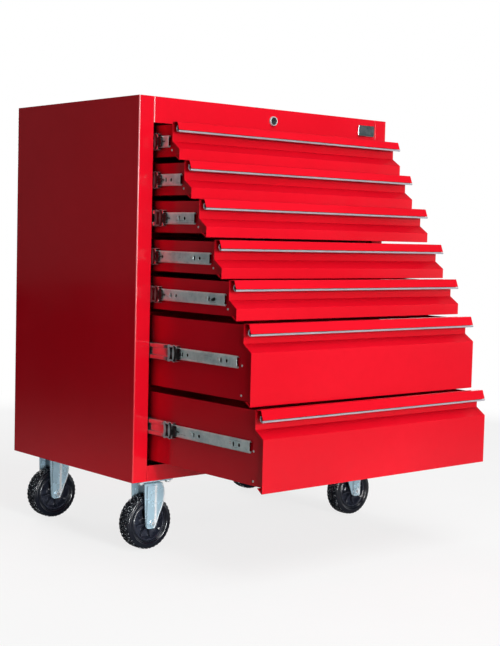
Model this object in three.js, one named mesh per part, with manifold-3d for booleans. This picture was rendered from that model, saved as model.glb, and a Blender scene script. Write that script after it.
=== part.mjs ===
// Roller tool cabinet: sheet-steel body on four castors, seven drawers on ball-bearing slides,
// each drawer standing further out than the one above it.
// Millimetres, +Z up, floor at z = 0, drawers open towards -Y, footprint centred on the origin.
// Parts are drawn with y = 0 at the body's front plane and z = 0 at its underside;
// add() moves them into the frame above.
import * as THREE from 'three';
import { mergeVertices } from 'three/addons/utils/BufferGeometryUtils.js';
import Module from 'manifold-3d';

const wasm = await Module();
wasm.setup();

// ---------------------------------------------------------------- driving dimensions
const BODY_W = 762;
const BODY_D = 505;
const BODY_H = 840;            // without castors
const LIFT = 157.7;            // underside of the body above the floor
const SHEET = 1.0;             // sheet thickness
const GAP = 0.3;               // gap between parts that rest on each other
const FIT = 0.05;              // radial clearance of a round part in its hole
const STILE = 39;              // width of each front stile
const LOCK_RAIL_H = 56;
const BOTTOM_RAIL_H = 35;

const HALF_W = BODY_W / 2;
const OPEN_X = HALF_W - STILE;             // half width of the drawer opening
const RAIL_X = OPEN_X - GAP;               // half width of the front rails
const INSET = SHEET + GAP;                 // inner parts lie this far inside the outer faces
const INNER_REAR = BODY_D - INSET;

// Drawers, top to bottom.
// z, height: lower edge and height of the front     open: distance pulled out
// lip: depth of the sloping lip                     rise: box bottom above the lower edge
// slideZ: slide centre height                       middleY: front end of the middle rails
// setback: inner rail front end behind the lower face
const DRAWERS = [
  [701.0, 79.9, 90, 16.4, 8.6, 742, -14, 45],
  [618.8, 79.8, 134, 16.5, 8.6, 660, -15.5, 45],
  [539.0, 78.8, 187, 16.6, 8.6, 578.2, -38, 48],
  [455.2, 79.0, 240, 16.5, 8.6, 495.5, -14, 47],
  [372.3, 81.6, 290, 16.8, 8.6, 413.5, -27, 45],
  [203.4, 165.6, 339, 18.6, 9.6, 290.2, -95, 50],
  [35.4, 166.0, 381.5, 18.6, 10.6, 123.4, -86, 47],
].map(([z, height, open, lip, rise, slideZ, middleY, setback]) => (
  { z, height, open, lip, rise, slideZ, middleY, setback }));

const FRONT_REACH = DRAWERS.at(-1).open;           // the lowest drawer stands out furthest
const OFFSET_Y = -(BODY_D - FRONT_REACH) / 2;      // puts the footprint centre at y = 0

const SIDES = [[-1, 'left'], [1, 'right']];

// ---------------------------------------------------------------- materials
const material = (options) => new THREE.MeshStandardMaterial(options);
const paint = () => material({ color: 0xd0142a, roughness: 0.28, metalness: 0.1 });
const zinc = () => material({ color: 0xb9c4c8, roughness: 0.35, metalness: 0.9 });
const aluminium = () => material({ color: 0xd4dade, roughness: 0.3, metalness: 0.9 });
const steel = () => material({ color: 0x9aa3a6, roughness: 0.42, metalness: 0.85 });
const chrome = () => material({ color: 0xd8d8da, roughness: 0.15, metalness: 1.0 });
const rubber = () => material({ color: 0x17181a, roughness: 0.6, metalness: 0.0 });

// ---------------------------------------------------------------- solid helpers
function toManifold(geometry) {
  geometry.deleteAttribute('normal');
  geometry.deleteAttribute('uv');
  const welded = mergeVertices(geometry, 1e-4);
  return new wasm.Manifold(new wasm.Mesh({
    numProp: 3,
    vertProperties: welded.getAttribute('position').array,
    triVerts: new Uint32Array(welded.getIndex().array),
  }));
}

// Flat-shaded geometry.
function toGeometry(solid) {
  const { vertProperties, triVerts } = solid.getMesh();
  const indexed = new THREE.BufferGeometry();
  indexed.setAttribute('position', new THREE.BufferAttribute(vertProperties, 3));
  indexed.setIndex(new THREE.BufferAttribute(triVerts, 1));
  const flat = indexed.toNonIndexed();
  flat.computeVertexNormals();
  return flat;
}

const group = new THREE.Group();
group.name = 'rolling_tool_box';
function add(name, solid, meshMaterial) {
  const mesh = new THREE.Mesh(toGeometry(solid.translate([0, OFFSET_Y, LIFT])), meshMaterial);
  mesh.name = name;
  group.add(mesh);
}

// Where the axes of the drawing plane and of the extrusion go.
const X = new THREE.Vector3(1, 0, 0);
const Y = new THREE.Vector3(0, 1, 0);
const Z = new THREE.Vector3(0, 0, 1);
const PRISM_BASIS = { x: [Y, Z, X], y: [Z, X, Y], z: [X, Y, Z] };

// Extrude a closed outline of either winding along an axis between two places in any order.
// axis 'x': outline in (y, z); axis 'y': outline in (x, z); axis 'z': outline in (x, y)
function prism(outline, axis, from, to, holes = []) {
  const toPlane = (points) => points.map(([u, v]) => (
    axis === 'y' ? new THREE.Vector2(v, u) : new THREE.Vector2(u, v)));
  const shape = new THREE.Shape(toPlane(outline));
  shape.holes = holes.map((hole) => new THREE.Path(toPlane(hole)));
  const depth = Math.abs(to - from);
  const geometry = new THREE.ExtrudeGeometry(shape, { depth, bevelEnabled: false, steps: 1 });
  geometry.translate(0, 0, Math.min(from, to));
  geometry.applyMatrix4(new THREE.Matrix4().makeBasis(...PRISM_BASIS[axis]));
  return toManifold(geometry);
}

const rect = (u0, v0, u1, v1) => [[u0, v0], [u1, v0], [u1, v1], [u0, v1]];
const box = ([x0, x1], [y0, y1], [z0, z1]) => prism(rect(x0, y0, x1, y1), 'z', z0, z1);

// Points of a circular arc, both ends included.
const arc = (u, v, radius, start, sweep, steps) =>
  Array.from({ length: steps + 1 }, (_, i) => {
    const angle = start + (sweep * i) / steps;
    return [u + radius * Math.cos(angle), v + radius * Math.sin(angle)];
  });
const circle = (u, v, radius, segments) =>
  arc(u, v, radius, 0, 2 * Math.PI, segments).slice(0, -1);

// Outlines are drawn for the left side (side -1) and mirrored in x for the right.
const onSide = (side, outline) => (side < 0 ? outline : outline.map(([x, v]) => [-x, v]));

// Round the inner vertices of an open path; radii is one radius or one per inner vertex.
function filleted(path, radii, steps) {
  const out = [path[0]];
  for (let i = 1; i < path.length - 1; i++) {
    const corner = path[i];
    const arms = [path[i - 1], path[i + 1]].map(([u, v]) => [u - corner[0], v - corner[1]]);
    const lengths = arms.map((arm) => Math.hypot(...arm));
    const [before, after] = arms.map(([u, v], k) => [u / lengths[k], v / lengths[k]]);
    const angle = Math.acos(before[0] * after[0] + before[1] * after[1]);
    const radius = Array.isArray(radii) ? radii[i - 1] : radii;
    const reach = Math.min(
      radius / Math.tan(angle / 2), lengths[0] * 0.45, lengths[1] * 0.45);
    const start = corner.map((c, k) => c + before[k] * reach);
    const end = corner.map((c, k) => c + after[k] * reach);
    for (let step = 0; step <= steps; step++) {
      const t = step / steps;
      out.push(corner.map((c, k) => (
        (1 - t) * (1 - t) * start[k] + 2 * t * (1 - t) * c + t * t * end[k])));
    }
  }
  out.push(path.at(-1));
  return out;
}

// Thicken an open path into a closed outline: to its left, or to its right if negative.
function strip(path, thickness) {
  const normals = path.slice(1).map(([u, v], i) => {
    const du = u - path[i][0];
    const dv = v - path[i][1];
    const length = Math.hypot(du, dv);
    return [-dv / length, du / length];
  });
  const offset = path.map(([u, v], i) => {
    const first = normals[Math.max(i - 1, 0)];
    const second = normals[Math.min(i, normals.length - 1)];
    const sum = [first[0] + second[0], first[1] + second[1]];
    const length = Math.hypot(...sum);
    const mitre = [sum[0] / length, sum[1] / length];
    const cosine = mitre[0] * first[0] + mitre[1] * first[1];
    return [u + (mitre[0] * thickness) / cosine, v + (mitre[1] * thickness) / cosine];
  });
  return path.concat(offset.reverse());
}

// Section of a sheet folded along a path.
const folded = (path, thickness, radii, steps) => strip(filleted(path, radii, steps), thickness);

// Revolve a closed (radius, height) profile, counter-clockwise, about the y or z axis.
function revolve(profile, segments, axis) {
  const points = [...profile, profile[0]].map(([radius, height]) => (
    new THREE.Vector2(radius, height)));
  const geometry = new THREE.LatheGeometry(points, segments);
  if (axis === 'z') geometry.rotateX(Math.PI / 2);
  return toManifold(geometry);
}

// ---------------------------------------------------------------- body panels
const STILE_RETURN = 20;       // depth of the return behind the stile
const REAR_FLANGE = 22;

// Side panel with stile, stile return and rear flange.
function sidePanel(side) {
  const path = [
    [-OPEN_X, STILE_RETURN], [-OPEN_X, 0], [-HALF_W, 0],
    [-HALF_W, BODY_D], [-HALF_W + REAR_FLANGE, BODY_D],
  ];
  const outline = folded(path, -SHEET, [2.0, 3.2, 2.4], 5);
  // the stile return stops short of the top and base sheets
  const notchX = [side * (OPEN_X - 0.2), side * (OPEN_X + 2.4)];
  const notchY = [1.5, STILE_RETURN + 2];
  return prism(onSide(side, outline), 'z', 0, BODY_H)
    .subtract(box(notchX, notchY, [BODY_H - INSET, BODY_H + 1]))
    .subtract(box(notchX, notchY, [-1, INSET]));
}
for (const [side, label] of SIDES) add(`${label}_side_panel`, sidePanel(side), paint());

const BACK = { margin: 20, flange: 16, edgeGap: 2.2 };   // margin: above base and below top
// pressed ribs: lower edges, depth, height of a flank and of the flat floor
const RIB = { z: [250, 536], depth: 5, flank: 12, flat: 30 };

// Back panel with two ribs pressed inwards and a folded foot and head.
function backPanel() {
  const y = INNER_REAR;
  const ribs = RIB.z.flatMap((z) => [
    [y, z],
    [y - RIB.depth, z + RIB.flank],
    [y - RIB.depth, z + RIB.flank + RIB.flat],
    [y, z + 2 * RIB.flank + RIB.flat],
  ]);
  const foot = BACK.margin;
  const head = BODY_H - BACK.margin;
  const path = [
    [y - BACK.flange, foot], [y, foot], ...ribs, [y, head], [y - BACK.flange, head],
  ];
  const halfWidth = HALF_W - BACK.edgeGap;
  return prism(folded(path, SHEET, 1.6, 2), 'x', -halfWidth, halfWidth);
}
add('back_panel', backPanel(), paint());

const RAIL_END = 16;           // depth of the folded rail ends
const RAIL_RETURN = { depth: 22, hem: 9 };
const TRAY_FLANGE = { from: 0.2, to: 17, endGap: 24, sideGap: 8 };   // from, to: off outer face
const CORNER_CUT = 5;

// Flat sheet folded at the front into a rail, with side and rear flanges turned inwards.
// inward is +1 if the inside of the body lies above the sheet, -1 if below.
function trayPanel(outerZ, inward, railHeight) {
  const railEdge = outerZ + inward * railHeight;
  const railPath = [[-RAIL_X, RAIL_END], [-RAIL_X, 0], [RAIL_X, 0], [RAIL_X, RAIL_END]];
  const rail = prism(folded(railPath, SHEET, 2.6, 5), 'z', outerZ, railEdge);
  // stiffening return on the free edge of the rail, its hem turned back behind the rail
  const returnPath = [
    [0.4, railEdge], [RAIL_RETURN.depth, railEdge],
    [RAIL_RETURN.depth, railEdge - inward * RAIL_RETURN.hem],
  ];
  const railReturn = prism(strip(returnPath, -inward * SHEET), 'x', -RAIL_X + 3, RAIL_X - 3);

  // sheet in plan, cut clear of the side panel bends
  const x = HALF_W - INSET;
  const frontY = INSET + 0.9;
  const right = [
    [RAIL_X - 3, 0.5], [RAIL_X, 3], [RAIL_X, frontY],
    [x - CORNER_CUT, frontY], [x, frontY + CORNER_CUT],
    [x, INNER_REAR - CORNER_CUT], [x - CORNER_CUT, INNER_REAR],
  ];
  const left = right.map(([u, v]) => [-u, v]).reverse();
  const sheet = prism(right.concat(left), 'z', outerZ, outerZ + inward * SHEET);

  let panel = rail.add(railReturn).add(sheet);
  const { from, to, endGap, sideGap } = TRAY_FLANGE;
  const flangeZ = [outerZ + inward * from, outerZ + inward * to];
  for (const [side] of SIDES) {
    const flangeX = [side * (x - SHEET), side * x];
    panel = panel.add(box(flangeX, [endGap, INNER_REAR + INSET - 1.3 - endGap], flangeZ));
  }
  return panel.add(box([-x + sideGap, x - sideGap], [INNER_REAR - SHEET, INNER_REAR], flangeZ));
}

const LOCK = { x: 0, z: 812.3, radius: 8.5 };

// Top panel, folded down into the lock rail.
const lockHole = prism(circle(LOCK.x, LOCK.z, LOCK.radius + FIT, 40), 'y', -5, 5);
add('top_panel', trayPanel(BODY_H, -1, LOCK_RAIL_H).subtract(lockHole), paint());
// Base panel, folded up into the bottom rail.
add('base_panel', trayPanel(0, 1, BOTTOM_RAIL_H), paint());

// ---------------------------------------------------------------- slide frames
const FRAME_SHEET = 1.2;
const UPRIGHT = {
  innerX: -342.2, outerX: -378,          // left side
  frontY: 27, rearY: 471,
  innerLeg: 39, outerLeg: 20,            // depth of the two legs
  endGap: 1.4,                           // to the outer faces of base and top
};
const CAB_RAIL = { openX: -330.2, webX: -343.1, height: 45, frontY: 27, rearY: 470 };

// Two channel uprights carrying the seven cabinet rails of one side.
function slideFrame(side) {
  const upright = (y, inward) => {
    const path = [
      [UPRIGHT.innerX, y + inward * UPRIGHT.innerLeg], [UPRIGHT.innerX, y],
      [UPRIGHT.outerX, y], [UPRIGHT.outerX, y + inward * UPRIGHT.outerLeg],
    ];
    const outline = folded(path, -inward * FRAME_SHEET, 1.4, 2);
    return prism(onSide(side, outline), 'z', UPRIGHT.endGap, BODY_H - UPRIGHT.endGap);
  };
  let frame = upright(UPRIGHT.frontY, 1).add(upright(UPRIGHT.rearY, -1));
  const { openX, webX, height, frontY, rearY } = CAB_RAIL;
  for (const { slideZ } of DRAWERS) {
    const low = slideZ - height / 2;
    const high = slideZ + height / 2;
    const path = [[openX, low], [webX, low], [webX, high], [openX, high]];
    const outline = folded(path, -FRAME_SHEET, 1.6, 2);
    frame = frame.add(prism(onSide(side, outline), 'y', frontY, rearY));
  }
  return frame;
}
for (const [side, label] of SIDES) add(`${label}_slide_frame`, slideFrame(side), steel());

// ---------------------------------------------------------------- lock
const KEYWAY = { halfWidth: 0.9, halfHeight: 3.8, depth: 3 };
// cam outline, (x, z) about the lock axis
const CAM = [[-7, 7], [-7, -16], [-4, -20], [4, -20], [7, -16], [7, 7]];

// Lock plug with keyway and rear cam.
function lockPlug() {
  const { x, z, radius } = LOCK;
  const { halfWidth, halfHeight, depth } = KEYWAY;
  const keyway = rect(x - halfWidth, z - halfHeight, x + halfWidth, z + halfHeight);
  return prism(circle(x, z, radius, 40), 'y', -4.2, 16)
    .subtract(prism(keyway, 'y', -6, depth))
    .add(prism(CAM.map(([u, v]) => [x + u, z + v]), 'y', 15, 17.5));
}
add('lock_plug', lockPlug(), chrome());

// ---------------------------------------------------------------- drawers
const FRONT_HALF = 340.5;      // half width of a drawer front
const TRIM_HALF = 341.1;       // half width of the pull trim
const BOX_HALF = 329;          // outer half width of a drawer box
const BOX_REAR = 462;          // rear of the drawer box behind the lower face
const BOX_DROP = 3;            // box top below the top of the lip
const RECESS = 24.5;           // recess plane behind the lower face
const UPPER_H = 56.3;          // height of the front above the lower face
const BEVEL_H = 16.6;          // height of the sloped band between lower face and recess
const LIP_Y = RECESS - 15;     // front edge of the lip's flat top
const LIP_SLOPE = 6.5;         // the lip leans this far forward
const FOOT = 15;               // depth of the return under the front
const FLANGE_REAR = 43.5;      // rear edge of the doubled front of each box side
const ROLL = { width: 5, height: 1.6 };    // rolled top edge of a box side

// Drawer parts are drawn from the lower face plane and the lower edge of the front.
const placeDrawer = (solid, drawer) => solid.translate([0, -drawer.open, drawer.z]);

function drawerSolid({ height, lip, rise }) {
  const lowFace = height - UPPER_H;
  const top = height - BOX_DROP;
  const frontPath = [
    [LIP_Y - LIP_SLOPE, height - lip], [LIP_Y, height], [RECESS, height],
    [RECESS, lowFace + BEVEL_H], [0, lowFace], [0, 0], [FOOT, rise],
  ];
  const front = folded(frontPath, SHEET, [1.2, 1.6, 1.8, 1.8, 1.2], 3);
  // box bottom and back in one strip, hemmed forwards at the top
  const boxPath = [[FOOT - 0.7, rise], [BOX_REAR, rise], [BOX_REAR, top], [BOX_REAR - 6, top]];
  // box side whose front edge follows the mid-thickness of the front
  const sideOutline = (rearY, inset) => [
    [0.5, rise + 0.4], [FOOT - 0.3, rise + inset],
    [rearY, rise + inset], [rearY, top - inset], [RECESS + 0.5, top - inset],
    [RECESS + 0.5, lowFace + BEVEL_H - 0.3], [0.5, lowFace - 0.3],
  ];
  const wall = sideOutline(BOX_REAR - 0.2, 0);
  const flange = sideOutline(FLANGE_REAR, 0.2);
  const roll = rect(RECESS + 0.6, top - ROLL.height, BOX_REAR - 0.6, top);

  let drawer = prism(front, 'x', -FRONT_HALF, FRONT_HALF)
    .add(prism(folded(boxPath, SHEET, [1.6, 1.2], 2), 'x', -BOX_HALF, BOX_HALF));
  for (const [side] of SIDES) {
    drawer = drawer
      .add(prism(wall, 'x', side * BOX_HALF, side * (BOX_HALF - SHEET)))
      .add(prism(flange, 'x', side * (BOX_HALF + SHEET * 0.9), side * (BOX_HALF - 0.2)))
      .add(prism(roll, 'x', side * (BOX_HALF - 0.4), side * (BOX_HALF - ROLL.width)));
  }
  return drawer;
}
DRAWERS.forEach((drawer, i) => {
  add(`drawer_${i + 1}`, placeDrawer(drawerSolid(drawer), drawer), paint());
});

// Hooked trim section, (y, z) from the lower face plane and the lip top,
// drawn for a lip at this place and of this depth.
const TRIM_LIP = { y: 9.5, depth: 15 };
const TRIM = [
  [1.5, -15.7], [1.3, -17.6], [1.7, -19.2], [3.4, -19.9], [6.4, -19.4], [9.6, -17.2],
  [11.3, -13.2], [10.8, -9.6], [8.7, -6.2], [8.3, -7.4], [9.7, -10.0], [10.1, -12.9],
  [8.8, -16.1], [6.5, -17.9], [5.3, -17.7], [4.8, -15.7],
];

// Pull trim along the lower edge of the lip.
function trimSolid({ height, lip }) {
  const outline = TRIM.map(([y, z]) => [
    y + LIP_Y - TRIM_LIP.y, z + height + TRIM_LIP.depth - lip]);
  return prism(outline, 'x', -TRIM_HALF, TRIM_HALF);
}
DRAWERS.forEach((drawer, i) => {
  add(`drawer_trim_${i + 1}`, placeDrawer(trimSolid(drawer), drawer), aluminium());
});

// ---------------------------------------------------------------- ball-bearing slides
const SLIDE_LEN = 430;
const SLIDE_SHEET = 1.1;
const INNER_H = 25.4;
const MIDDLE_H = 35;
// hole and slot pairs in the inner rail; positions are from its front end
const HOLES = { at: [32, 162], radius: 3.9, slotStep: 18, slotHalfW: 2.8, slotHalfH: 5.8 };

// Upright slot with round ends.
function slot(y, z, halfWidth, halfHeight) {
  const rise = halfHeight - halfWidth;
  return [
    ...arc(y, z + rise, halfWidth, 0, Math.PI, 2),
    ...arc(y, z - rise, halfWidth, Math.PI, Math.PI, 2),
  ];
}

function innerRail(side, z, frontY) {
  const low = z - INNER_H / 2;
  const high = z + INNER_H / 2;
  const path = [
    [-329.4, low + 2.6], [-330.6, low + 2.2], [-331.6, low], [-334.2, low],
    [-336.3, low + 4.2], [-336.3, high - 3.2],
    [-334.2, high], [-331.6, high], [-330.6, high - 2.2], [-329.4, high - 2.6],
  ];
  const outline = folded(path, -SLIDE_SHEET, [0.4, 0.6, 1.8, 2.2, 2.2, 1.8, 0.6, 0.4], 1);
  let rail = prism(onSide(side, outline), 'y', frontY, frontY + SLIDE_LEN);
  for (const at of HOLES.at) {
    const y = frontY + at;
    const cuts = [
      circle(y, z, HOLES.radius, 10),
      slot(y + HOLES.slotStep, z, HOLES.slotHalfW, HOLES.slotHalfH),
    ];
    for (const cut of cuts) rail = rail.subtract(prism(cut, 'x', side * 334, side * 340));
  }
  return rail;
}

// Middle rail, its web stepped towards the drawer between two bends.
function middleRail(side, z, frontY) {
  const low = z - MIDDLE_H / 2;
  const high = z + MIDDLE_H / 2;
  const path = [
    [-331.4, low], [-341.4, low], [-341.4, low + 8.8], [-337.9, low + 10.2],
    [-337.9, high - 10.2], [-341.4, high - 8.8], [-341.4, high], [-331.4, high],
  ];
  const outline = folded(path, -SLIDE_SHEET, [1.4, 0.5, 0.5, 0.5, 0.5, 1.4], 1);
  return prism(onSide(side, outline), 'y', frontY, frontY + SLIDE_LEN);
}

DRAWERS.forEach(({ slideZ, setback, open, middleY }, i) => {
  for (const [side, label] of SIDES) {
    add(`slide_inner_${label}_${i + 1}`, innerRail(side, slideZ, setback - open), zinc());
  }
  for (const [side, label] of SIDES) {
    add(`slide_middle_${label}_${i + 1}`, middleRail(side, slideZ, middleY), zinc());
  }
});

// ---------------------------------------------------------------- castors
const WHEEL_R = 60.8;
const WHEEL_HALF = 19.5;
const AXLE_R = 6;
const AXLE_Z = WHEEL_R - LIFT;
const WHEEL_X = 320.3;
const WHEEL_ROWS = [['front', 34.3], ['rear', 426]];
const TRAIL = 8;               // plate centre and swivel axis inboard of the axle
const PLATE = { width: 96, depth: 64, corner: 6, bottom: -3.3 };
const PLATE_HOLES = { pitchX: 74, pitchY: 43, radius: 4.3 };
const CROWN = -6.2;            // top of the swivel fork
const FIXED_TOP = -3.1;        // top of the fixed legs
const PIN_R = 6;               // swivel pin

// Leg outline about the axle, (x towards the cabinet centre, z), for a left-hand castor.
// Points above LEG_HEAD move with the top of the leg, drawn at LEG_TOP.
const LEG_HEAD = 80;
const LEG_TOP = 92;
const LEG_BOTTOM = -13;        // lower end of the stock the legs are cut from
const LEG = [
  [-20.6, 92], [22, 92], [27.5, 90.5], [31.2, 84], [33.8, 74], [34.6, 62],
  [32.4, 47], [27.6, 32], [21.4, 18], [15.2, 3], [11.4, -5.5], [7.6, -10.2],
  [3.2, -11.6], [-9.6, -11.6], [-13.6, -9.6], [-15.8, -4.5], [-17.4, 16], [-19.2, 46],
];
const LEG_SHEET = 2.6;
const LEG_Y = 23.2 + LEG_SHEET;            // outer face of a leg
const PANEL_Y = LEG_Y + 3;                 // outer face of its raised centre panel
const BOLT_HEAD_R = 8.2;

// Pair of legs joined across the top, with the axle bolt.
function legs(side, topZ) {
  const top = topZ - AXLE_Z;
  const section = [[-LEG_Y, LEG_BOTTOM], [-LEG_Y, top], [LEG_Y, top], [LEG_Y, LEG_BOTTOM]];
  let fork = prism(folded(section, -LEG_SHEET, 4.5, 3), 'x', -40, 40);
  // raised centre panel with sloped flanks on both legs
  for (const end of [-1, 1]) {
    const panel = [
      [-16.6, end * (LEG_Y - 0.4)], [-14.2, end * PANEL_Y],
      [7.0, end * PANEL_Y], [11.6, end * (LEG_Y - 0.4)],
    ];
    fork = fork.add(prism(onSide(side, panel), 'z', LEG_BOTTOM, top - 6));
  }
  const outline = LEG.map(([x, z]) => [x, z > LEG_HEAD ? z - LEG_TOP + top : z]);
  // axle bolt: round head in front, hexagon nut behind
  return fork
    .intersect(prism(onSide(side, outline), 'y', -LEG_Y - 4, LEG_Y + 4))
    .add(prism(circle(0, 0, AXLE_R, 28), 'y', -PANEL_Y - 1, PANEL_Y + 1))
    .add(prism(circle(0, 0, BOLT_HEAD_R, 20), 'y', -PANEL_Y - 3, -PANEL_Y + 0.3))
    .add(prism(circle(0, 0, BOLT_HEAD_R, 6), 'y', PANEL_Y - 0.3, PANEL_Y + 4.4));
}

// Mounting plate with cut corners and four bolt holes.
function plate(side) {
  const centre = -side * TRAIL;
  const x = PLATE.width / 2;
  const y = PLATE.depth / 2;
  const cut = PLATE.corner;
  const outline = [
    [-x + cut, -y], [x - cut, -y], [x, -y + cut], [x, y - cut],
    [x - cut, y], [-x + cut, y], [-x, y - cut], [-x, -y + cut],
  ].map(([u, v]) => [centre + u, v]);
  const { pitchX, pitchY, radius } = PLATE_HOLES;
  const holes = rect(-pitchX / 2, -pitchY / 2, pitchX / 2, pitchY / 2)
    .map(([u, v]) => circle(centre + u, v, radius, 14));
  return prism(outline, 'z', PLATE.bottom, -GAP, holes);
}

// Bearing parts about the swivel axis, (radius, z).
const BEARING_DISC = [[0, -5.9], [20.5, -5.9], [21.5, -5], [21.5, -3], [0, -3]];
const BEARING_CUP = [[8, -17.8], [14, -17.8], [20.5, -13.5], [21.6, -8.2], [8, -8.2]];

// Plate with bearing disc, swivel pin and hexagon nut.
function swivelPlate(side) {
  const pinX = -side * TRAIL;
  return plate(side)
    .add(revolve(BEARING_DISC, 32, 'z').translate([pinX, 0, 0]))
    .add(prism(circle(pinX, 0, PIN_R, 28), 'z', -19, -5))
    .add(prism(circle(pinX, 0, 9, 6), 'z', -24.5, -18.2));
}

// Fork with a bearing cup under its crown, bored for the pin.
function swivelFork(side) {
  const pinX = -side * TRAIL;
  return legs(side, CROWN).translate([0, 0, AXLE_Z])
    .add(revolve(BEARING_CUP, 32, 'z').translate([pinX, 0, 0]))
    .subtract(prism(circle(pinX, 0, PIN_R + FIT, 28), 'z', -30, -3));
}

const fixedBracket = (side) =>
  plate(side).add(legs(side, FIXED_TOP).translate([0, 0, AXLE_Z]));

// Swivel castors on the left, fixed castors on the right.
for (const [row, y] of WHEEL_ROWS) {
  add(`swivel_plate_${row}`, swivelPlate(-1).translate([-WHEEL_X, y, 0]), zinc());
  add(`swivel_fork_${row}`, swivelFork(-1).translate([-WHEEL_X, y, 0]), zinc());
  add(`fixed_bracket_${row}`, fixedBracket(1).translate([WHEEL_X, y, 0]), zinc());
}

// Half of the wheel section, bore to tread: (radius, distance from the mid-plane).
const WHEEL = [
  [AXLE_R + FIT, 21.5], [13, 21.5], [15.5, 8], [40, 6], [43, 15.8], [49.8, 16.2],
  [51.6, 18.6], [56.6, WHEEL_HALF], [59.4, 17.4], [WHEEL_R, 12.5],
];

// Tyre, rim and dished hub in one, on a plain bore.
function wheel() {
  const lower = WHEEL.map(([radius, height]) => [radius, -height]);
  return revolve(lower.concat(WHEEL.toReversed()), 36, 'y');
}
for (const [side, label] of SIDES) {
  for (const [row, y] of WHEEL_ROWS) {
    add(`wheel_${row}_${label}`, wheel().translate([side * WHEEL_X, y, AXLE_Z]), rubber());
  }
}

export default group;
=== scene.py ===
"""A red tool cabinet on four castors, its seven drawers each pulled out by its own amount.

The scene is in metres: x runs left to right, the front faces -y and the floor is z = 0.
Cabinet sizes are in mm: x centred, y = 0 at the stile face, z = 0 at the body underside.
Materials, modifiers, lights and the floor use metres.
"""
import math
import random
from collections import namedtuple
import bpy
import bmesh
from mathutils import Matrix, Vector


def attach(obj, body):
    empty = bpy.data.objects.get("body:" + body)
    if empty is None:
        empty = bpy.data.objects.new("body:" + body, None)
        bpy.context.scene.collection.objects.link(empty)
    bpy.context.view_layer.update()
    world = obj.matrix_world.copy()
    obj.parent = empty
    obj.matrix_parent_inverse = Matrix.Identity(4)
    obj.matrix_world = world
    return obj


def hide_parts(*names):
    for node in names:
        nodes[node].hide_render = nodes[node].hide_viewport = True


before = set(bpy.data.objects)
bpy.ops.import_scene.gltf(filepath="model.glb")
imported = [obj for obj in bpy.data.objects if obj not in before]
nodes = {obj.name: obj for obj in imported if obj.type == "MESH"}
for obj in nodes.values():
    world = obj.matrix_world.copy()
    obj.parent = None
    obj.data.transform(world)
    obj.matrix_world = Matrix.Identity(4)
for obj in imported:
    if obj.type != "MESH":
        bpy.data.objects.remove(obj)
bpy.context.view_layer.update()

rng = random.Random(7)
scene = bpy.context.scene

# ---------------------------------------------------------------- driving sizes (mm)
STILE_Y = -61.75        # stile face in the scene
BODY_Z = 157.7          # body underside above the floor
WHEEL_RADIUS = 60.8
WHEEL_X = 320.3
WHEEL_Y = {"front": 34.3, "rear": 426.0}
AXLE_Z = WHEEL_RADIUS - BODY_Z

SIDES = {"left": -1, "right": 1}
CORNERS = [(end, side, sign) for end in WHEEL_Y for side, sign in SIDES.items()]

# From the top down: underside and height of the drawer, how far it is out, rivet heights,
# slide centre height, y of the middle rail's front end, inner rail setback
Drawer = namedtuple("Drawer", "bottom height pull rivets slide_z rail_front setback")
DRAWERS = [Drawer(*row) for row in (
    (701.0, 79.9, 90, [723.5], 742, -14, 45),
    (618.8, 79.8, 134, [641.5], 660, -15.5, 45),
    (539.0, 78.8, 187, [560.5], 578.2, -38, 48),
    (455.2, 79.0, 240, [476.7], 495.5, -14, 47),
    (372.3, 81.6, 290, [394.8], 413.5, -27, 45),
    (203.4, 165.6, 339, [223.0, 283.6], 290.2, -95, 50),
    (35.4, 166.0, 381.5, [55.2, 115.8], 123.4, -86, 47))]


def place(x, y, z):
    """Cabinet mm to scene metres."""
    return Vector((x / 1000, (y + STILE_Y) / 1000, (z + BODY_Z) / 1000))


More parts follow.
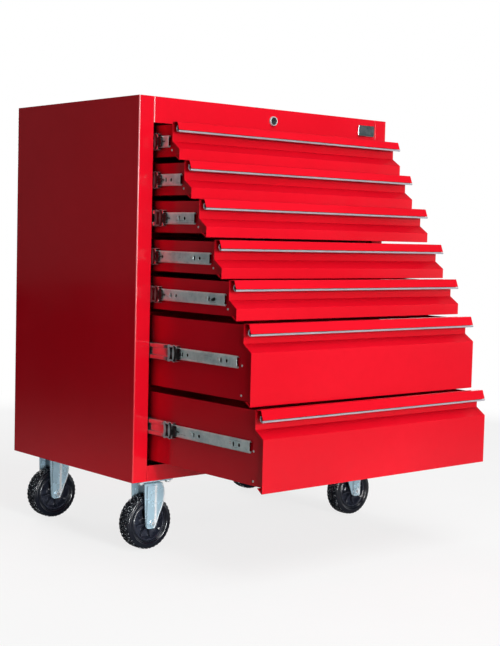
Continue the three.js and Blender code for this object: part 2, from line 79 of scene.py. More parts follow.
# ---------------------------------------------------------------- shader building
class Shader:
    """Builds the node tree of a material or of the world."""

    def __init__(self, owner, output="ShaderNodeOutputMaterial"):
        self.owner = owner
        owner.use_nodes = True
        self.tree = owner.node_tree
        self.tree.nodes.clear()
        self.out = self.node(output)
        self.coords = self.node("ShaderNodeTexCoord").outputs

    def node(self, kind, inputs=None, **settings):
        node = self.tree.nodes.new(kind)
        for key, value in settings.items():
            setattr(node, key, value)
        for key, value in (inputs or {}).items():
            self.put(node.inputs[key], value)
        return node

    def put(self, socket, value):
        if isinstance(value, bpy.types.NodeSocket):
            self.tree.links.new(value, socket)
        elif isinstance(value, tuple) and socket.type == "RGBA" and len(value) == 3:
            socket.default_value = (*value, 1.0)
        else:
            socket.default_value = value

    def surface(self, shader):
        self.put(self.out.inputs["Surface"], shader.outputs[0])

    def principled(self, **values):
        inputs = {key.replace("_", " "): value for key, value in values.items()}
        self.surface(self.node("ShaderNodeBsdfPrincipled", inputs))

    def math(self, operation, a, b, c=0.0):
        return self.node("ShaderNodeMath", {0: a, 1: b, 2: c}, operation=operation).outputs[0]

    def multiply(self, a, b):
        return self.math("MULTIPLY", a, b)

    def add(self, a, b):
        return self.math("ADD", a, b)

    def dot(self, a, b):
        node = self.node("ShaderNodeVectorMath", {0: a, 1: b}, operation="DOT_PRODUCT")
        return node.outputs["Value"]

    def split(self, vector):
        return self.node("ShaderNodeSeparateXYZ", {0: vector}).outputs

    def geometry(self, name):
        return self.node("ShaderNodeNewGeometry").outputs[name]

    def mapping(self, scale=(1, 1, 1), shift=(0, 0, 0), at=None):
        inputs = {"Vector": at or self.coords["Object"], "Scale": scale, "Location": shift}
        return self.node("ShaderNodeMapping", inputs).outputs[0]

    def noise(self, scale, detail=3, rough=0.6, at=None):
        inputs = {"Vector": at or self.coords["Object"], "Scale": scale,
                  "Detail": detail, "Roughness": rough}
        return self.node("ShaderNodeTexNoise", inputs).outputs["Fac"]

    def streaks(self, scale, shift=(0, 0, 0)):
        """Noise drawn out along the axis with the smallest scale."""
        return self.noise(scale=1.0, at=self.mapping(scale, shift))

    def ramp(self, field, between, to=(0.0, 1.0)):
        """Smooth step of field across `between`, giving values across `to`."""
        inputs = {"Value": field, "From Min": between[0], "From Max": between[1],
                  "To Min": to[0], "To Max": to[1]}
        node = self.node("ShaderNodeMapRange", inputs, interpolation_type="SMOOTHSTEP")
        return node.outputs["Result"]

    def mix(self, factor, first, second):
        return self.node("ShaderNodeMix", {"Factor": factor, 6: first, 7: second},
                         data_type="RGBA", blend_type="MIX", clamp_factor=True).outputs[2]

    def fade(self, first, second, field, between, to=(0.0, 1.0)):
        """Colour going from first to second as field crosses `between`."""
        return self.mix(self.ramp(field, between, to), first, second)

    def bump(self, height, strength, distance, normal=None):
        inputs = {"Strength": strength, "Distance": distance, "Height": height}
        if normal is not None:
            inputs["Normal"] = normal
        return self.node("ShaderNodeBump", inputs).outputs[0]

    def bevel(self, radius, samples):
        return self.node("ShaderNodeBevel", {"Radius": radius}, samples=samples).outputs[0]

    def edge(self, radius):
        """1 near convex or concave edges, 0 on flats."""
        lean = self.dot(self.bevel(radius, samples=4), self.geometry("Normal"))
        return self.ramp(lean, between=(0.995, 0.85))

    def worn_edges(self, colour, radius, amount, worn):
        return self.mix(self.multiply(self.edge(radius), amount), colour, worn)

    # painted shade: darkens the colour where ambient occlusion finds nearby surfaces
    def painted_corner_shade(self, colour, distance, between, amount, corner_shade, samples=4):
        node = self.node("ShaderNodeAmbientOcclusion", {"Distance": distance}, samples=samples)
        return self.fade(colour, corner_shade, node.outputs["AO"], between, to=(0.0, amount))


def new_material(name):
    return Shader(bpy.data.materials.new(name))


def scaled(colour, factor):
    return tuple(min(1, channel * factor) for channel in colour)


# ---------------------------------------------------------------- materials
def red_paint(name, seed, fold_highlight_side=0):
    """Glossy enamel on wavy thin sheet, with orange peel and chipped edges.

    A fold side of -1 or 1 paints a pale highlight along upright folds that face the front and that
    side.
    """
    mat = new_material(name)
    shifted = mat.mapping(shift=(seed * 1.7, seed * 0.9, seed * 2.3))
    slow = mat.noise(scale=2.2, detail=2, rough=0.5, at=shifted)
    fine = mat.noise(scale=38, detail=3, rough=0.55, at=shifted)
    colour = mat.fade((0.67, 0.0038, 0.0145), (0.73, 0.0050, 0.0180), slow, between=(0.3, 0.7))
    colour = mat.fade(colour, (0.61, 0.003, 0.012), fine, between=(0.35, 0.75), to=(0.0, 0.18))
    # painted shade: narrow gaps, then deep recesses, go nearly black
    colour = mat.painted_corner_shade(colour, distance=0.14, between=(0.32, 0.20), amount=0.97,
                              corner_shade=(0.004, 0.0002, 0.0003), samples=6)
    colour = mat.painted_corner_shade(colour, distance=0.45, between=(0.19, 0.11), amount=0.96,
                              corner_shade=(0.003, 0.0002, 0.0003), samples=6)
    patches = mat.ramp(mat.noise(scale=160, at=shifted), between=(0.58, 0.72))
    chips = mat.multiply(mat.edge(radius=0.0011), patches)
    colour = mat.mix(mat.multiply(chips, 0.35), colour, (0.52, 0.16, 0.15))
    # painted highlight: pale enamel on upright folds turned towards the front and one side
    if fold_highlight_side:
        normal = mat.split(mat.bevel(radius=0.0022, samples=6))
        fold_highlight = mat.multiply(mat.ramp(normal[0], between=(0.15 * fold_highlight_side, 0.40 * fold_highlight_side)),
                            mat.ramp(normal[1], between=(-0.15, -0.40)))
        # the painted highlight grows with height above the floor
        height = mat.split(mat.geometry("Position"))[2]
        amount = mat.ramp(height, between=(0.30, 0.85), to=(0.08, 0.58))
        colour = mat.mix(mat.multiply(fold_highlight, amount), colour, (0.95, 0.52, 0.54))
    rough = mat.ramp(mat.noise(scale=9, detail=4, at=shifted), between=(0.3, 0.7), to=(0.10, 0.19))
    rough = mat.add(rough, mat.ramp(fine, between=(0.4, 0.8), to=(0.0, 0.05)))
    rough = mat.add(rough, mat.multiply(chips, 0.25))
    # sheet waviness, then two sizes of orange peel: noise scale, detail, rough, strength, distance
    normal = None
    for scale, detail, grain, strength, distance in ((6.5, 1, 0.4, 0.30, 0.0009),
                                                     (520, 2, 0.5, 0.22, 0.00005),
                                                     (1600, 1, 0.5, 0.12, 0.00002)):
        height = mat.noise(scale, detail, grain, at=shifted)
        normal = mat.bump(height, strength, distance, normal)
    mat.principled(Base_Color=colour, Roughness=rough, Normal=normal, Coat_Weight=0.12,
                   Coat_Roughness=0.04, Coat_IOR=1.5, Specular_IOR_Level=0.30)
    return mat.owner


STREAK_SCALE = {"y": (420, 6, 420), "z": (420, 420, 6)}


def zinc(name, seed, tint, rough, along="y", corner_shade=0.10, metal=1.0):
    """Bright zinc on rolled strip: drawing lines, mottling, painted shade in the corners."""
    mat = new_material(name)
    shifted = mat.mapping(shift=(seed, seed * 0.37, seed * 0.71))
    lines = mat.streaks(STREAK_SCALE[along], shift=(seed, 0, 0))
    cells = mat.node("ShaderNodeTexVoronoi", {
        "Vector": mat.mapping(scale=(1, 0.6, 1), at=shifted), "Scale": 210}, feature="F1")
    spangle = mat.node("ShaderNodeSeparateColor", {0: cells.outputs["Color"]}).outputs
    mottle = mat.noise(scale=26, detail=4, rough=0.65, at=shifted)
    colour = mat.fade(scaled(tint, 0.74), scaled(tint, 1.16), mottle, between=(0.32, 0.68))
    yellowing = mat.noise(scale=9, detail=2, rough=0.5, at=shifted)
    colour = mat.fade(colour, (0.62, 0.60, 0.47), yellowing, between=(0.45, 0.75), to=(0.0, 0.22))
    colour = mat.mix(mat.multiply(spangle[0], 0.16), colour, scaled(tint, 1.3))
    colour = mat.worn_edges(colour, radius=0.0008, amount=0.45, worn=(0.86, 0.88, 0.90))
    # painted shade: corners darken, by ambient occlusion
    colour = mat.painted_corner_shade(colour, distance=0.006, between=(0.75, 0.25), amount=0.55,
                              corner_shade=(corner_shade, corner_shade, corner_shade * 1.02))
    roughness = mat.add(mat.ramp(lines, between=(0.3, 0.7), to=rough),
                        mat.ramp(mottle, between=(0.4, 0.8), to=(0.0, 0.07)))
    normal = mat.bump(lines, strength=0.22, distance=0.00008)
    normal = mat.bump(spangle[1], strength=0.05, distance=0.00006, normal=normal)
    mat.principled(Base_Color=colour, Metallic=metal, Roughness=roughness, Normal=normal)
    return mat.owner


def fork_zinc(name, seed):
    """Pressed castor parts: satin blue-white zinc with soft flow marks."""
    mat = new_material(name)
    shifted = mat.mapping(shift=(seed * 1.3, seed, seed * 0.4))
    mottle = mat.noise(scale=34, detail=4, at=shifted)
    colour = mat.fade((0.48, 0.71, 0.85), (0.55, 0.79, 0.93), mottle, between=(0.3, 0.7))
    specks = mat.noise(scale=120, detail=4, rough=0.7, at=shifted)
    colour = mat.fade(colour, (0.50, 0.60, 0.66), specks, between=(0.58, 0.74), to=(0.0, 0.10))
    # painted highlight and shade: towards the front, the +x side is painted bright and the -x side
    # dark
    flat = mat.split(mat.node("ShaderNodeTexCoord").outputs["Normal"])
    local = mat.node("ShaderNodeVectorTransform", {0: mat.bevel(radius=0.006, samples=6)},
                     vector_type="NORMAL", convert_from="WORLD", convert_to="OBJECT")
    soft = mat.split(local.outputs[0])
    painted_highlight = mat.multiply(mat.ramp(soft[0], between=(0.05, 0.18)),
                           mat.ramp(soft[1], between=(-0.30, -0.60)))
    painted_shade = mat.multiply(mat.ramp(flat[0], between=(-0.30, -0.60)),
                        mat.ramp(flat[1], between=(-0.45, -0.70)))
    colour = mat.mix(painted_highlight, colour, (0.97, 0.99, 1.0))
    colour = mat.mix(mat.multiply(painted_shade, 0.8), colour, (0.10, 0.14, 0.17))
    colour = mat.worn_edges(colour, radius=0.0012, amount=0.5, worn=(0.92, 0.95, 0.97))
    # painted shade: darker in the fork's corners, by ambient occlusion
    colour = mat.painted_corner_shade(colour, distance=0.008, between=(0.7, 0.2), amount=0.6,
                              corner_shade=(0.16, 0.17, 0.18))
    normal = mat.bump(mat.noise(scale=900, at=shifted), strength=0.18, distance=0.00006)
    flow = mat.noise(scale=60, detail=2, rough=0.5, at=shifted)
    normal = mat.bump(flow, strength=0.025, distance=0.0004, normal=normal)
    # metallic falls from 0.45 to 0.10 under the painted highlight
    mat.principled(Base_Color=colour, Metallic=mat.math("MULTIPLY_ADD", painted_highlight, -0.35, 0.45),
                   Roughness=mat.ramp(mottle, between=(0.3, 0.75), to=(0.20, 0.32)), Normal=normal)
    return mat.owner


def aluminium(name):
    """Satin anodised pull strip, brushed along its length."""
    mat = new_material(name)
    lines = mat.streaks(scale=(5, 900, 900))
    mottle = mat.noise(scale=20)
    colour = mat.fade((0.60, 0.60, 0.68), (0.70, 0.70, 0.77), mottle, between=(0.3, 0.7))
    colour = mat.worn_edges(colour, radius=0.0006, amount=0.4, worn=(0.98, 0.98, 0.98))
    # painted shade: nearly black where ambient occlusion finds nearby surfaces
    colour = mat.painted_corner_shade(colour, distance=0.010, between=(0.60, 0.25), amount=0.95,
                              corner_shade=(0.02, 0.02, 0.025))
    mat.principled(Base_Color=colour, Metallic=0.6,
                   Roughness=mat.ramp(lines, between=(0.3, 0.7), to=(0.20, 0.34)),
                   Normal=mat.bump(lines, strength=0.2, distance=0.00005))
    return mat.owner


def chrome(name):
    mat = new_material(name)
    base = (0.80, 0.81, 0.83)
    scratches = mat.streaks(scale=(700, 60, 700))
    colour = mat.fade(base, scaled(base, 1.12), mat.noise(scale=70), between=(0.35, 0.7))
    mat.principled(Base_Color=colour, Metallic=1.0,
                   Roughness=mat.ramp(scratches, between=(0.35, 0.7), to=(0.05, 0.14)),
                   Normal=mat.bump(scratches, strength=0.08, distance=0.00004))
    return mat.owner


def bolt_steel(name):
    mat = new_material(name)
    grain = mat.noise(scale=240)
    colour = mat.fade((0.66, 0.72, 0.76), (0.84, 0.88, 0.91), grain, between=(0.3, 0.7))
    colour = mat.worn_edges(colour, radius=0.0006, amount=0.5, worn=(0.95, 0.97, 0.98))
    mat.principled(Base_Color=colour, Metallic=0.7,
                   Roughness=mat.ramp(grain, between=(0.3, 0.7), to=(0.22, 0.36)),
                   Normal=mat.bump(grain, strength=0.15, distance=0.0001))
    return mat.owner


def tyre_rubber(name, gloss):
    """Black rubber: moulding sheen when gloss, otherwise dusty with painted glints on the edges."""
    mat = new_material(name)
    dust = mat.noise(scale=45, detail=4, rough=0.65)
    colour = mat.fade((0.0030, 0.0045, 0.0095), (0.012, 0.014, 0.020), dust,
                      between=(0.42, 0.8), to=(0.0, 0.5))
    if gloss:
        colour = mat.worn_edges(colour, radius=0.0009, amount=0.25, worn=(0.13, 0.14, 0.16))
        rough, specular, coat = (0.18, 0.28), 0.55, 0.30
    else:
        # painted highlight: pale glints on the tread blocks' edges, in patches
        patches = mat.ramp(mat.noise(scale=230, detail=2, rough=0.5), between=(0.52, 0.60))
        painted_glint = mat.multiply(mat.edge(radius=0.0013), patches)
        colour = mat.mix(painted_glint, colour, (0.80, 0.85, 0.90))
        rough, specular, coat = (0.26, 0.42), 0.4, 0.15
    grain = mat.noise(scale=1500, detail=2, rough=0.5)
    mat.principled(Base_Color=colour,
                   Roughness=mat.ramp(mat.noise(scale=14), between=(0.3, 0.7), to=rough),
                   Normal=mat.bump(grain, strength=0.18, distance=0.00005),
                   Specular_IOR_Level=specular, Coat_Weight=coat, Coat_Roughness=0.12,
                   Coat_Tint=(0.85, 0.92, 1.0))
    return mat.owner


def plastic(name, base, rough, grain=0.12, specular=0.5):
    """Plain non-metal finish, paler in patches and along its edges."""
    mat = new_material(name)
    mottle = mat.noise(scale=75)
    patch = tuple(channel * 1.5 + 0.003 for channel in base)
    worn = tuple(channel * 2.2 + 0.02 for channel in base)
    colour = mat.fade(base, patch, mottle, between=(0.35, 0.75))
    colour = mat.worn_edges(colour, radius=0.0007, amount=0.3, worn=worn)
    height = mat.noise(scale=1100, detail=2, rough=0.5)
    mat.principled(Base_Color=colour, Roughness=mat.ramp(mottle, between=(0.3, 0.7), to=rough),
                   Normal=mat.bump(height, strength=grain, distance=0.00006),
                   Specular_IOR_Level=specular)
    return mat.owner


def badge_metal(name):
    """Dark brushed plate."""
    mat = new_material(name)
    lines = mat.streaks(scale=(8, 8, 1100))
    cloud = mat.noise(scale=95)
    colour = mat.fade((0.055, 0.085, 0.095), (0.115, 0.155, 0.165), cloud, between=(0.3, 0.7))
    colour = mat.worn_edges(colour, radius=0.0007, amount=0.6, worn=(0.45, 0.52, 0.54))
    mat.principled(Base_Color=colour, Metallic=0.75,
                   Roughness=mat.ramp(lines, between=(0.3, 0.7), to=(0.30, 0.46)),
                   Normal=mat.bump(lines, strength=0.2, distance=0.00005))
    return mat.owner


PAINT = [red_paint(f"red_enamel_{i}", seed=i) for i in range(4)]
# copies with a painted highlight along their upright folds
PAINT_FOLD_HIGHLIGHT_LEFT = red_paint("red_enamel_fold_highlight_left", seed=0, fold_highlight_side=-1)
PAINT_FOLD_HIGHLIGHT_RIGHT = red_paint("red_enamel_fold_highlight_right", seed=1, fold_highlight_side=1)
ZINC_INNER = zinc("zinc_inner_rail", seed=1, tint=(0.73, 0.97, 1.00), rough=(0.26, 0.40),
                  corner_shade=0.06, metal=0.5)
ZINC_MIDDLE = zinc("zinc_middle_rail", seed=2, tint=(0.70, 0.77, 0.80), rough=(0.10, 0.20),
                   corner_shade=0.06, metal=0.9)
# paler, less metallic zinc: a painted highlight on the embossed tabs
ZINC_TAB_HIGHLIGHT = zinc("zinc_tab_painted_highlight", seed=5, tint=(0.86, 0.95, 0.96), rough=(0.22, 0.32),
                corner_shade=0.2, metal=0.3)
ZINC_CAGE = zinc("zinc_cage", seed=6, tint=(0.46, 0.56, 0.60), rough=(0.24, 0.34),
                 along="z", corner_shade=0.1, metal=0.12)
# painted shade: a darkened copy of the cage zinc, for the cages of the upper drawers
ZINC_CAGE_SHADED = zinc("zinc_cage_painted_shade", seed=7, tint=(0.10, 0.12, 0.13), rough=(0.24, 0.34),
                     along="z", corner_shade=0.03, metal=0.12)
STEEL = zinc("galvanised_frame", seed=3, tint=(0.42, 0.45, 0.46), rough=(0.34, 0.5), along="z")
FORK = fork_zinc("zinc_fork", seed=1)
PLATE = fork_zinc("zinc_plate", seed=4)
ALUMINIUM = aluminium("anodised_trim")
CHROME = chrome("chrome")
PLUG = plastic("plug_steel", (0.016, 0.019, 0.021), rough=(0.18, 0.30), grain=0.1, specular=0.8)
BEZEL = plastic("satin_chrome", (0.42, 0.47, 0.49), rough=(0.18, 0.28), grain=0.1, specular=1.0)
BOLT = bolt_steel("bolt_zinc")
RIVET = plastic("rivet_white_metal", (0.62, 0.66, 0.66), rough=(0.25, 0.35))
SIDEWALL = tyre_rubber("tyre_sidewall", gloss=True)
TREAD = tyre_rubber("tyre_tread", gloss=False)
HUB = plastic("hub_plastic", (0.015, 0.018, 0.029), rough=(0.18, 0.30), grain=0.10, specular=0.6)
BLACK = plastic("black_plastic", (0.003, 0.003, 0.0036), rough=(0.22, 0.34), specular=0.35)
BADGE = badge_metal("badge_plate")


# ---------------------------------------------------------------- finish of the CAD pieces
def add_bevel(obj, width, segments, angle):
    bevel = obj.modifiers.new("edge", "BEVEL")
    bevel.width = width
    bevel.segments = segments
    bevel.limit_method = "ANGLE"
    bevel.angle_limit = math.radians(angle)
    bevel.harden_normals = True
    normals = obj.modifiers.new("normals", "WEIGHTED_NORMAL")
    normals.keep_sharp = True
    return bevel, normals


def dress(name, material, width, segments=2):
    """Give a CAD piece one material and small edge radii (width in metres)."""
    obj = nodes[name]
    mesh = obj.data
    mesh.materials.clear()
    mesh.materials.append(material)
    mesh.polygons.foreach_set("material_index", [0] * len(mesh.polygons))
    mesh.polygons.foreach_set("use_smooth", [True] * len(mesh.polygons))
    weld = obj.modifiers.new("weld", "WELD")
    weld.merge_threshold = 1e-5
    planar = obj.modifiers.new("planar", "DECIMATE")
    planar.decimate_type = "DISSOLVE"
    planar.angle_limit = math.radians(0.4)
    bevel, normals = add_bevel(obj, width, segments, angle=28)
    bevel.miter_outer = "MITER_ARC"
    bevel.use_clamp_overlap = True
    normals.weight = 60


dress("left_side_panel", PAINT_FOLD_HIGHLIGHT_LEFT, width=0.0006)
dress("right_side_panel", PAINT_FOLD_HIGHLIGHT_RIGHT, width=0.0006)
dress("back_panel", PAINT[2], width=0.0003)
dress("top_panel", PAINT_FOLD_HIGHLIGHT_LEFT, width=0.0006)
dress("base_panel", PAINT[0], width=0.0003)
for side in SIDES:
    dress(f"{side}_slide_frame", STEEL, width=0.0003, segments=1)
dress("lock_plug", PLUG, width=0.0004)
for number in range(1, len(DRAWERS) + 1):
    dress(f"drawer_{number}", PAINT[number % 4], width=0.00035)
    dress(f"drawer_trim_{number}", ALUMINIUM, width=0.0003)
    for side in SIDES:
        dress(f"slide_inner_{side}_{number}", ZINC_INNER, width=0.00025, segments=1)
        dress(f"slide_middle_{side}_{number}", ZINC_MIDDLE, width=0.00025, segments=1)
for end in WHEEL_Y:
    dress(f"swivel_plate_{end}", PLATE, width=0.0005)
    dress(f"swivel_fork_{end}", FORK, width=0.0008)
    dress(f"fixed_bracket_{end}", FORK, width=0.0008)


# ---------------------------------------------------------------- mesh helpers
def finish_mesh(name, bm, materials, body, bevel=0.0, sharp=32):
    """Turn bm into an object riding on body; bevel in metres, sharp in degrees."""
    mesh = bpy.data.meshes.new(name)
    bmesh.ops.recalc_face_normals(bm, faces=bm.faces)
    bm.to_mesh(mesh)
    bm.free()
    for polygon in mesh.polygons:
        polygon.use_smooth = True
    for material in materials:
        mesh.materials.append(material)
    obj = bpy.data.objects.new(name, mesh)
    scene.collection.objects.link(obj)
    if bevel:
        add_bevel(obj, bevel, segments=2, angle=sharp)
    else:
        mesh.set_sharp_from_angle(angle=math.radians(sharp))
    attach(obj, body)
    return obj


X_DIR, Y_DIR, Z_DIR = Vector((1, 0, 0)), Vector((0, 1, 0)), Vector((0, 0, 1))
# two directions across each axis, then the axis itself
AXES = {"x": (Y_DIR, Z_DIR, X_DIR), "y": (Z_DIR, X_DIR, Y_DIR), "z": (X_DIR, Y_DIR, Z_DIR)}


def bridge(bm, first, second, closed=True):
    count = len(first)
    for i in range(count if closed else count - 1):
        after = (i + 1) % count
        bm.faces.new((first[i], first[after], second[after], second[i]))


def add_lathe(bm, profile, segments, centre, axis, sign=1, capped=False):
    """Revolve (radius, height) mm points; a capped profile is open and gets a disc at each end."""
    across, aside, along = AXES[axis]
    rings = []
    for j in range(segments):
        turn = 2 * math.pi * j / segments
        out = across * math.cos(turn) + aside * math.sin(turn)
        rings.append([bm.verts.new(centre + out * (radius / 1000) + along * (sign * height / 1000))
                      for radius, height in profile])
    for j in range(segments):
        bridge(bm, rings[j], rings[(j + 1) % segments], closed=not capped)
    if capped:
        for i in (0, -1):
            bm.faces.new([ring[i] for ring in rings])


def add_prism(bm, outline, axis, start, stop):
    """Extrude a closed mm outline along x (outline y, z) or along y (outline x, z)."""
    def ring(depth):
        return [bm.verts.new(place(depth, p, q) if axis == "x" else place(p, depth, q))
                for p, q in outline]
    low, high = ring(start), ring(stop)
    bm.faces.new(low[::-1])
    bm.faces.new(high)
    bridge(bm, low, high)


def add_side_prism(bm, outline, sign, inner, outer):
    """Prism between two distances from the centre plane, on the side given by sign."""
    add_prism(bm, outline, "x", *sorted((sign * inner, sign * outer)))


def mirrored(profile):
    return profile + [(radius, -height) for radius, height in profile[::-1]]


# ---------------------------------------------------------------- wheels
# half sections (radius, distance from the wheel's mid plane)
TYRE_SECTION = [
    (41.2, 14.6), (41.2, 16.2), (42.2, 17.4), (43.2, 17.0), (43.9, 16.2), (44.9, 16.5),
    (46.0, 18.0), (47.6, 19.1), (49.6, 19.5), (51.6, 19.3), (52.9, 18.6), (53.8, 18.4),
    (55.0, 18.6), (56.4, 18.2), (57.6, 17.3), (58.3, 16.0), (58.0, 15.0), (56.6, 14.2),
    (56.3, 10.0), (56.4, 4.0)]
HUB_SECTION = [
    (6.25, 20.8), (6.9, 21.4), (9.6, 21.4), (10.6, 20.9), (11.6, 19.6), (12.6, 13.0),
    (14.5, 6.0), (17.0, 4.2), (28.0, 4.0), (32.5, 5.2), (35.2, 9.0), (36.3, 14.2),
    (37.2, 16.6), (38.2, 17.3), (39.8, 17.3), (40.8, 16.6), (41.1, 15.0)]
# crest of a hub rib, lower in the middle (radius, distance from the mid plane)
RIB_CREST = [(11.6, 17.5), (16, 13.6), (22, 11.6), (30, 11.8), (35, 13.8), (38.2, 16.0)]
RIB_ROOT = 3.0
RIB_HALF_CREST, RIB_HALF_ROOT = 1.35, 2.1
RIBS = 8

# Tread blocks: turn from the pitch start (share of a pitch), base radius, size of the top
# against the base, corners (share of a pitch, y, top radius)
TREAD_PITCHES = 38
CENTRE_BLOCK = (0.0, 55.6, 0.84, [
    (-0.34, -4.4, WHEEL_RADIUS), (0.24, -4.4, WHEEL_RADIUS),
    (0.40, 4.4, WHEEL_RADIUS), (-0.18, 4.4, WHEEL_RADIUS)])
OUTER_BLOCKS = [
    (0.5, 55.4, 0.84, [(-0.34, 5.4, 60.7), (0.20, 5.4, 60.7), (0.34, 10.8, 60.3),
                       (-0.20, 10.8, 60.3)]),
    (0.1, 55.6, 0.88, [(-0.27, 11.0, 60.5), (0.27, 11.0, 60.5), (0.25, 16.2, 59.4),
                       (-0.25, 16.2, 59.4)])]
TREAD_BLOCKS = [CENTRE_BLOCK] + OUTER_BLOCKS + [
    (turn, base, taper, [(share, -y, top) for share, y, top in corners[::-1]])
    for turn, base, taper, corners in OUTER_BLOCKS]


def add_tread_block(bm, centre, start, pitch, base, taper, corners):
    def vertex(share, y, radius):
        turn = start + share * pitch
        return bm.verts.new(centre + Vector((math.cos(turn) * radius, y,
                                             math.sin(turn) * radius)) / 1000)
    mid_share = sum(corner[0] for corner in corners) / 4
    mid_y = sum(corner[1] for corner in corners) / 4
    low, high = [], []
    for share, y, top in corners:
        low.append(vertex(share, y, base))
        high.append(vertex(mid_share + (share - mid_share) * taper,
                           mid_y + (y - mid_y) * taper, top))
    faces = [bm.faces.new(high)]
    for i in range(4):
        after = (i + 1) % 4
        faces.append(bm.faces.new((low[i], low[after], high[after], high[i])))
    for face in faces:
        face.material_index = 1


def build_tyre(name, body, centre):
    bm = bmesh.new()
    add_lathe(bm, mirrored(TYRE_SECTION), 112, centre, "y")
    # the floor between the tread blocks takes the tread material
    for face in bm.faces:
        offsets = [vert.co - centre for vert in face.verts]
        radius = max(math.hypot(offset.x, offset.z) for offset in offsets)
        nearest = min(abs(offset.y) for offset in offsets)
        face.material_index = int(0.0562 < radius < 0.0572 and nearest < 0.0143)
    pitch = 2 * math.pi / TREAD_PITCHES
    for j in range(TREAD_PITCHES):
        for turn, base, taper, corners in TREAD_BLOCKS:
            add_tread_block(bm, centre, (j + turn) * pitch, pitch, base, taper, corners)
    tyre = finish_mesh(name, bm, [SIDEWALL, TREAD], body, sharp=34)
    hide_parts(body)


def add_rib(bm, centre, turn, sign):
    out = Vector((math.cos(turn), 0, math.sin(turn)))
    sideways = Vector((-math.sin(turn), 0, math.cos(turn)))
    outline = [(radius, y, RIB_HALF_CREST) for radius, y in RIB_CREST]
    outline += [(radius, RIB_ROOT, RIB_HALF_ROOT) for radius, _ in RIB_CREST[::-1]]
    ahead, behind = [], []
    for radius, y, half in outline:
        point = centre + out * (radius / 1000) + Vector((0, sign * y / 1000, 0))
        ahead.append(bm.verts.new(point + sideways * half / 1000))
        behind.append(bm.verts.new(point - sideways * half / 1000))
    bridge(bm, ahead, behind)
    last = len(outline) - 1
    for i in range(len(RIB_CREST) - 1):
        for ring in (ahead, behind):
            bm.faces.new((ring[i], ring[i + 1], ring[last - 1 - i], ring[last - i]))


def build_hub(name, body, centre):
    bm = bmesh.new()
    add_lathe(bm, mirrored(HUB_SECTION), 96, centre, "y")
    for j in range(RIBS):
        for sign in (-1, 1):
            add_rib(bm, centre, 2 * math.pi * (j + 0.3) / RIBS, sign)
    hub = finish_mesh(name, bm, [HUB], body, sharp=30)
    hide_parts(body)


for end, side, sign in CORNERS:
    wheel_centre = place(sign * WHEEL_X, WHEEL_Y[end], AXLE_Z)
    build_tyre(f"tyre_{end}_{side}", f"wheel_{end}_{side}", wheel_centre)
    build_hub(f"hub_{end}_{side}", f"wheel_{end}_{side}", wheel_centre)

# ---------------------------------------------------------------- castor bolts
PLATE_INSET = 8                     # plate centre inboard of the wheel
BOLT_HALF_X, BOLT_HALF_Y = 37, 21.5
BOLT_SEAT_Z = -3.3
WASHER_RADIUS, WASHER_TOP = 8.4, 1.4
HEX_RADIUS, HEX_HEIGHT = 6.4, 4.2
HEX_POINTS = 48
AXLE_HEAD_REACH = 28.6              # axle bolt head in front of the axle's mid point
# profiles (radius, height)
WASHER = [(WASHER_RADIUS * 0.98, 0), (WASHER_RADIUS, 0.25), (WASHER_RADIUS, 1.1),
          (WASHER_RADIUS * 0.96, WASHER_TOP)]
AXLE_HEAD = [(8.5, 0), (8.8, 0.4), (8.8, 0.9), (8.2, 1.2), (6.7, 1.25), (6.5, 2.0), (5.6, 2.9),
             (3.6, 3.5), (1.6, 3.75), (0.4, 3.8)]


def add_castor_bolt(bm, seat, phase):
    """Washer and chamfered hex head hanging below the seat."""
    add_lathe(bm, WASHER, 28, seat, "z", sign=-1, capped=True)
    rings = []
    # share of the head's radius and of its height
    for radius_share, height_share in ((1, 0), (1, 0.8), (0.9, 1), (0.55, 1)):
        height = WASHER_TOP + HEX_HEIGHT * height_share
        ring = []
        for j in range(HEX_POINTS):
            turn = 2 * math.pi * j / HEX_POINTS
            from_flat = turn % (math.pi / 3) - math.pi / 6
            radius = HEX_RADIUS * radius_share * math.cos(math.pi / 6) / math.cos(from_flat)
            ring.append(bm.verts.new(seat + Vector((
                math.cos(turn + phase) * radius, math.sin(turn + phase) * radius, -height)) / 1000))
        rings.append(ring)
    for lower, upper in zip(rings, rings[1:]):
        bridge(bm, lower, upper)
    bm.faces.new(rings[-1])
    bm.faces.new(rings[0][::-1])


for end, side, sign in CORNERS:
    bm = bmesh.new()
    for across in (-1, 1):
        for along in (-1, 1):
            seat = place(sign * (WHEEL_X - PLATE_INSET) + across * BOLT_HALF_X,
                         WHEEL_Y[end] + along * BOLT_HALF_Y, BOLT_SEAT_Z)
            add_castor_bolt(bm, seat, phase=rng.uniform(0, 1))
    finish_mesh(f"castor_bolts_{end}_{side}", bm, [BOLT], "cabinet", sharp=28)

# domed axle bolt heads over the front leg of each fork
for end, side, sign in CORNERS:
    bm = bmesh.new()
    add_lathe(bm, AXLE_HEAD, 40, place(sign * WHEEL_X, WHEEL_Y[end] - AXLE_HEAD_REACH, AXLE_Z),
              "y", sign=-1, capped=True)
    finish_mesh(f"axle_bolt_{end}_{side}", bm, [BOLT],
                f"fork_{end}" if side == "left" else "cabinet", sharp=28)

# ---------------------------------------------------------------- drawer rivets
RIVET_X = 329.9
RIVET_Y = 40                        # behind the stile face with the drawer shut
PAINTED_DROP = 23.4                 # painted rivet below the drawer top
TALL_DRAWER = 100                   # taller drawers also have a painted rivet
# domes (radius, height)
RIVET_DOME = [(2.4, -0.2), (2.45, 0.25), (2.25, 0.65), (1.75, 1.0), (1.0, 1.2), (0.3, 1.25)]
PAINTED_DOME = [(2.6, -0.2), (2.6, 0.2), (2.2, 0.6), (1.2, 0.85), (0.3, 0.9)]


